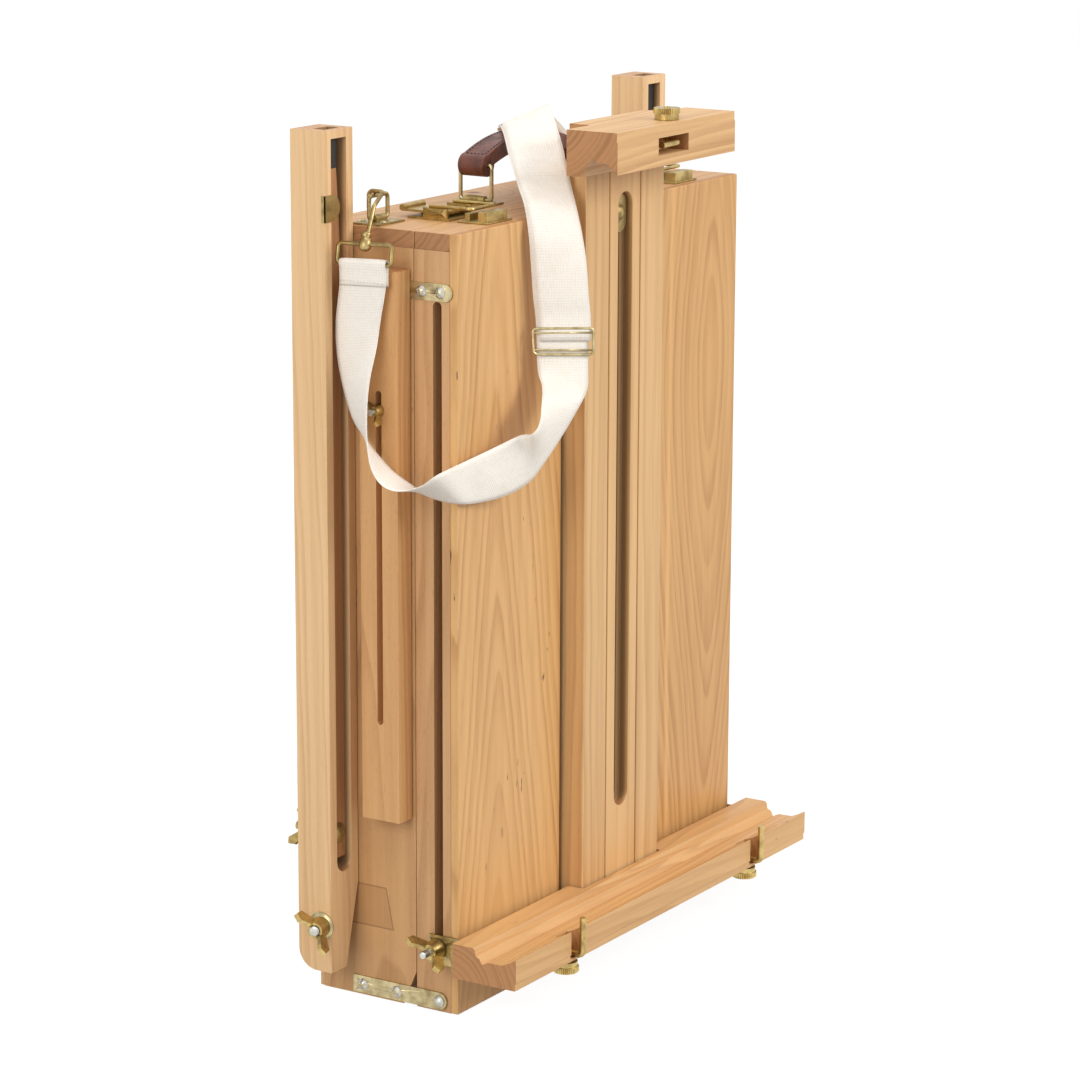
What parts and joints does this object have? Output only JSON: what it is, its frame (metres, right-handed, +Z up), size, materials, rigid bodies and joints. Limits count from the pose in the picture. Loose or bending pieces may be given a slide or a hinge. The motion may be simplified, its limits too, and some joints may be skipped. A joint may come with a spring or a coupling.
{
  "type": "box easel",
  "caption": "Wooden sketch box easel folded shut, with legs, stays, a sliding mast, a canvas tray, a drawer, a handle and a webbing strap.",
  "frame": {"origin": "middle of the standing face, half way between lid and underside", "axes": "+X to the right across the lid, -Y out of the lid's face, +Z up towards the handle"},
  "size_m": [0.4958, 0.2262, 0.62],
  "materials": {
    "case_wood": "oiled beech, satin",
    "lid_wood": "oiled elm and beech, satin",
    "trim_wood": "oiled beech, satin",
    "plywood": "thin plywood, satin",
    "antique_brass": "antique brass plating",
    "bright_brass": "polished brass plating",
    "zinc": "zinc plated steel",
    "grip_leather": "dark red-brown leather",
    "strap_webbing": "off-white cotton webbing"
  },
  "bodies": {
    "case": {"case_side_left": "case_wood", "case_side_right": "case_wood", "case_rear_board": "case_wood", "underside_panel": "plywood", "drawer_runners": "case_wood", "hinge_straps": "antique_brass", "side_pivots": "zinc", "rear_leg_bracket": "antique_brass"},
    "drawer": {"drawer_front": "case_wood", "drawer_walls": "case_wood", "drawer_bottom": "plywood", "drawer_dividers": "plywood", "palette": "plywood", "latch_bases": "bright_brass", "handle_plates": "bright_brass", "strap_eyes": "antique_brass", "snap_hooks": "antique_brass", "shoulder_strap": "strap_webbing"},
    "lid": {"lid_side_left": "lid_wood", "lid_side_right": "lid_wood", "lid_top_board": "lid_wood", "lid_bottom_board": "lid_wood", "lid_panels": "lid_wood", "mast_rails": "trim_wood", "mast_clamp": "trim_wood", "lid_pivot_screws": "zinc", "stay_brackets": "antique_brass", "latch_strikes": "bright_brass"},
    "mast": {"mast_bar": "trim_wood", "top_clamp": "trim_wood"},
    "top_hook": {"top_hook": "bright_brass"},
    "tray": {"tray": "trim_wood", "tray_brackets": "antique_brass"},
    "handle_grip": {"handle_grip": "grip_leather"},
    "latch_lever_left": {"latch_lever_left": "bright_brass"},
    "handle_ring_left": {"handle_ring_left": "zinc"},
    "tray_hook_left": {"tray_hook_left": "bright_brass"},
    "tray_wing_nut_left": {"tray_wing_nut_left": "zinc"},
    "stay_arm_left": {"stay_arm_left": "trim_wood"},
    "stay_slat_left": {"stay_slat_left": "trim_wood"},
    "stay_wing_nut_left": {"stay_wing_nut_left": "zinc"},
    "leg_pivot_nut_left": {"leg_pivot_nut_left": "zinc"},
    "latch_lever_right": {"latch_lever_right": "bright_brass"},
    "handle_ring_right": {"handle_ring_right": "zinc"},
    "tray_hook_right": {"tray_hook_right": "bright_brass"},
    "tray_wing_nut_right": {"tray_wing_nut_right": "zinc"},
    "stay_arm_right": {"stay_arm_right": "trim_wood"},
    "stay_slat_right": {"stay_slat_right": "trim_wood"},
    "stay_wing_nut_right": {"stay_wing_nut_right": "zinc"},
    "leg_pivot_nut_right": {"leg_pivot_nut_right": "zinc"},
    "leg_upper_left": {"leg_upper_left": "trim_wood"},
    "leg_lower_left": {"leg_lower_left": "trim_wood"},
    "leg_slide_nut_left": {"leg_slide_nut_left": "zinc"},
    "leg_upper_right": {"leg_upper_right": "trim_wood"},
    "leg_lower_right": {"leg_lower_right": "trim_wood"},
    "leg_slide_nut_right": {"leg_slide_nut_right": "zinc"},
    "leg_upper_rear": {"leg_upper_rear": "trim_wood"},
    "leg_lower_rear": {"leg_lower_rear": "trim_wood"},
    "leg_slide_nut_rear": {"leg_slide_nut_rear": "zinc"}
  },
  "joints": [
    {"name": "lid_hinge", "type": "hinge", "parent": "case", "child": "lid", "pos_m": [0, -0.044, 0.008], "axis": [1, 0, 0], "range_deg": [0, 100], "deforming": ["shoulder_strap"]},
    {"name": "drawer_slide", "type": "slide", "parent": "case", "child": "drawer", "axis": [0, 0, 1], "range_m": [0, 0.35]},
    {"name": "mast_slide", "type": "slide", "parent": "lid", "child": "mast", "axis": [0, 0, 1], "range_m": [0, 0.42]},
    {"name": "top_hook_slide", "type": "slide", "parent": "mast", "child": "top_hook", "axis": [0, 0, 1], "range_m": [0, 0.003]},
    {"name": "tray_slide", "type": "slide", "parent": "lid", "child": "tray", "axis": [0, 0, 1], "range_m": [0, 0.4]},
    {"name": "tray_hook_left_slide", "type": "slide", "parent": "tray", "child": "tray_hook_left", "axis": [0, 0, 1], "range_m": [0, 0.0015]},
    {"name": "tray_wing_nut_left_turn", "type": "hinge", "parent": "tray", "child": "tray_wing_nut_left", "pos_m": [-0.2, -0.043, 0.047], "axis": [-1, 0, 0], "continuous": true},
    {"name": "stay_arm_left_hinge", "type": "hinge", "parent": "lid", "child": "stay_arm_left", "pos_m": [-0.195, -0.0065, 0.51], "axis": [1, 0, 0], "range_deg": [0, 9.9]},
    {"name": "stay_slat_left_slide", "type": "slide", "parent": "stay_arm_left", "child": "stay_slat_left", "axis": [0, 0, -1], "range_m": [0, 0.215]},
    {"name": "stay_wing_nut_left_turn", "type": "hinge", "parent": "stay_slat_left", "child": "stay_wing_nut_left", "pos_m": [-0.212, -0.0065, 0.428], "axis": [-1, 0, 0], "continuous": true},
    {"name": "latch_lever_left_hinge", "type": "hinge", "parent": "drawer", "child": "latch_lever_left", "pos_m": [-0.126, -0.013, 0.5551], "axis": [1, 0, 0], "range_deg": [0, 120]},
    {"name": "handle_ring_left_hinge", "type": "hinge", "parent": "drawer", "child": "handle_ring_left", "pos_m": [-0.057, 0.013, 0.5533], "axis": [0, 1, 0], "range_deg": [-50, 50]},
    {"name": "leg_left_hinge", "type": "hinge", "parent": "case", "child": "leg_upper_left", "pos_m": [-0.18, 0.042, 0.059], "axis": [-0.9781, -0.2079, 0], "range_deg": [0, 80]},
    {"name": "leg_left_slide", "type": "slide", "parent": "leg_upper_left", "child": "leg_lower_left", "axis": [0, 0, 1], "range_m": [0, 0.4]},
    {"name": "leg_slide_nut_left_turn", "type": "hinge", "parent": "leg_lower_left", "child": "leg_slide_nut_left", "pos_m": [-0.2077, 0.056, 0.123], "axis": [0, 1, 0], "continuous": true},
    {"name": "leg_pivot_nut_left_turn", "type": "hinge", "parent": "case", "child": "leg_pivot_nut_left", "pos_m": [-0.228, 0.0318, 0.059], "axis": [-0.9781, -0.2079, 0], "continuous": true},
    {"name": "tray_hook_right_slide", "type": "slide", "parent": "tray", "child": "tray_hook_right", "axis": [0, 0, 1], "range_m": [0, 0.0015]},
    {"name": "tray_wing_nut_right_turn", "type": "hinge", "parent": "tray", "child": "tray_wing_nut_right", "pos_m": [0.2, -0.043, 0.047], "axis": [1, 0, 0], "continuous": true},
    {"name": "stay_arm_right_hinge", "type": "hinge", "parent": "lid", "child": "stay_arm_right", "pos_m": [0.195, -0.0065, 0.51], "axis": [1, 0, 0], "range_deg": [0, 9.9]},
    {"name": "stay_slat_right_slide", "type": "slide", "parent": "stay_arm_right", "child": "stay_slat_right", "axis": [0, 0, -1], "range_m": [0, 0.215]},
    {"name": "stay_wing_nut_right_turn", "type": "hinge", "parent": "stay_slat_right", "child": "stay_wing_nut_right", "pos_m": [0.212, -0.0065, 0.428], "axis": [1, 0, 0], "continuous": true},
    {"name": "latch_lever_right_hinge", "type": "hinge", "parent": "drawer", "child": "latch_lever_right", "pos_m": [0.126, -0.013, 0.5551], "axis": [1, 0, 0], "range_deg": [0, 120]},
    {"name": "handle_ring_right_hinge", "type": "hinge", "parent": "drawer", "child": "handle_ring_right", "pos_m": [0.057, 0.013, 0.5533], "axis": [0, 1, 0], "range_deg": [-50, 50]},
    {"name": "leg_right_hinge", "type": "hinge", "parent": "case", "child": "leg_upper_right", "pos_m": [0.18, 0.042, 0.059], "axis": [-0.9781, 0.2079, 0], "range_deg": [0, 80]},
    {"name": "leg_right_slide", "type": "slide", "parent": "leg_upper_right", "child": "leg_lower_right", "axis": [0, 0, 1], "range_m": [0, 0.4]},
    {"name": "leg_slide_nut_right_turn", "type": "hinge", "parent": "leg_lower_right", "child": "leg_slide_nut_right", "pos_m": [0.2077, 0.056, 0.123], "axis": [0, 1, 0], "continuous": true},
    {"name": "leg_pivot_nut_right_turn", "type": "hinge", "parent": "case", "child": "leg_pivot_nut_right", "pos_m": [0.228, 0.0318, 0.059], "axis": [0.9781, -0.2079, 0], "continuous": true},
    {"name": "handle_grip_hinge", "type": "hinge", "parent": "handle_ring_left", "child": "handle_grip", "pos_m": [-0.057, 0.013, 0.5778], "axis": [0, 1, 0], "range_deg": [-50, 50]},
    {"name": "leg_rear_hinge", "type": "hinge", "parent": "case", "child": "leg_upper_rear", "pos_m": [0, 0.0741, 0.059], "axis": [-1, 0, 0], "range_deg": [0, 105]},
    {"name": "leg_rear_slide", "type": "slide", "parent": "leg_upper_rear", "child": "leg_lower_rear", "axis": [0, 0, 1], "range_m": [0, 0.34]},
    {"name": "leg_slide_nut_rear_turn", "type": "hinge", "parent": "leg_lower_rear", "child": "leg_slide_nut_rear", "pos_m": [0, 0.09, 0.123], "axis": [0, 1, 0], "continuous": true}
  ],
  "couplings": [
    {"joint": "handle_ring_right_hinge", "follows": "handle_ring_left_hinge", "ratio": 1},
    {"joint": "handle_grip_hinge", "follows": "handle_ring_left_hinge", "ratio": -1},
    {"joint": "stay_arm_left_hinge", "follows": "lid_hinge", "ratio": 0.0984},
    {"joint": "stay_slat_left_slide", "follows": "lid_hinge", "m_per_rad": 0.1228},
    {"joint": "stay_arm_right_hinge", "follows": "lid_hinge", "ratio": 0.0984},
    {"joint": "stay_slat_right_slide", "follows": "lid_hinge", "m_per_rad": 0.1228}
  ]
}
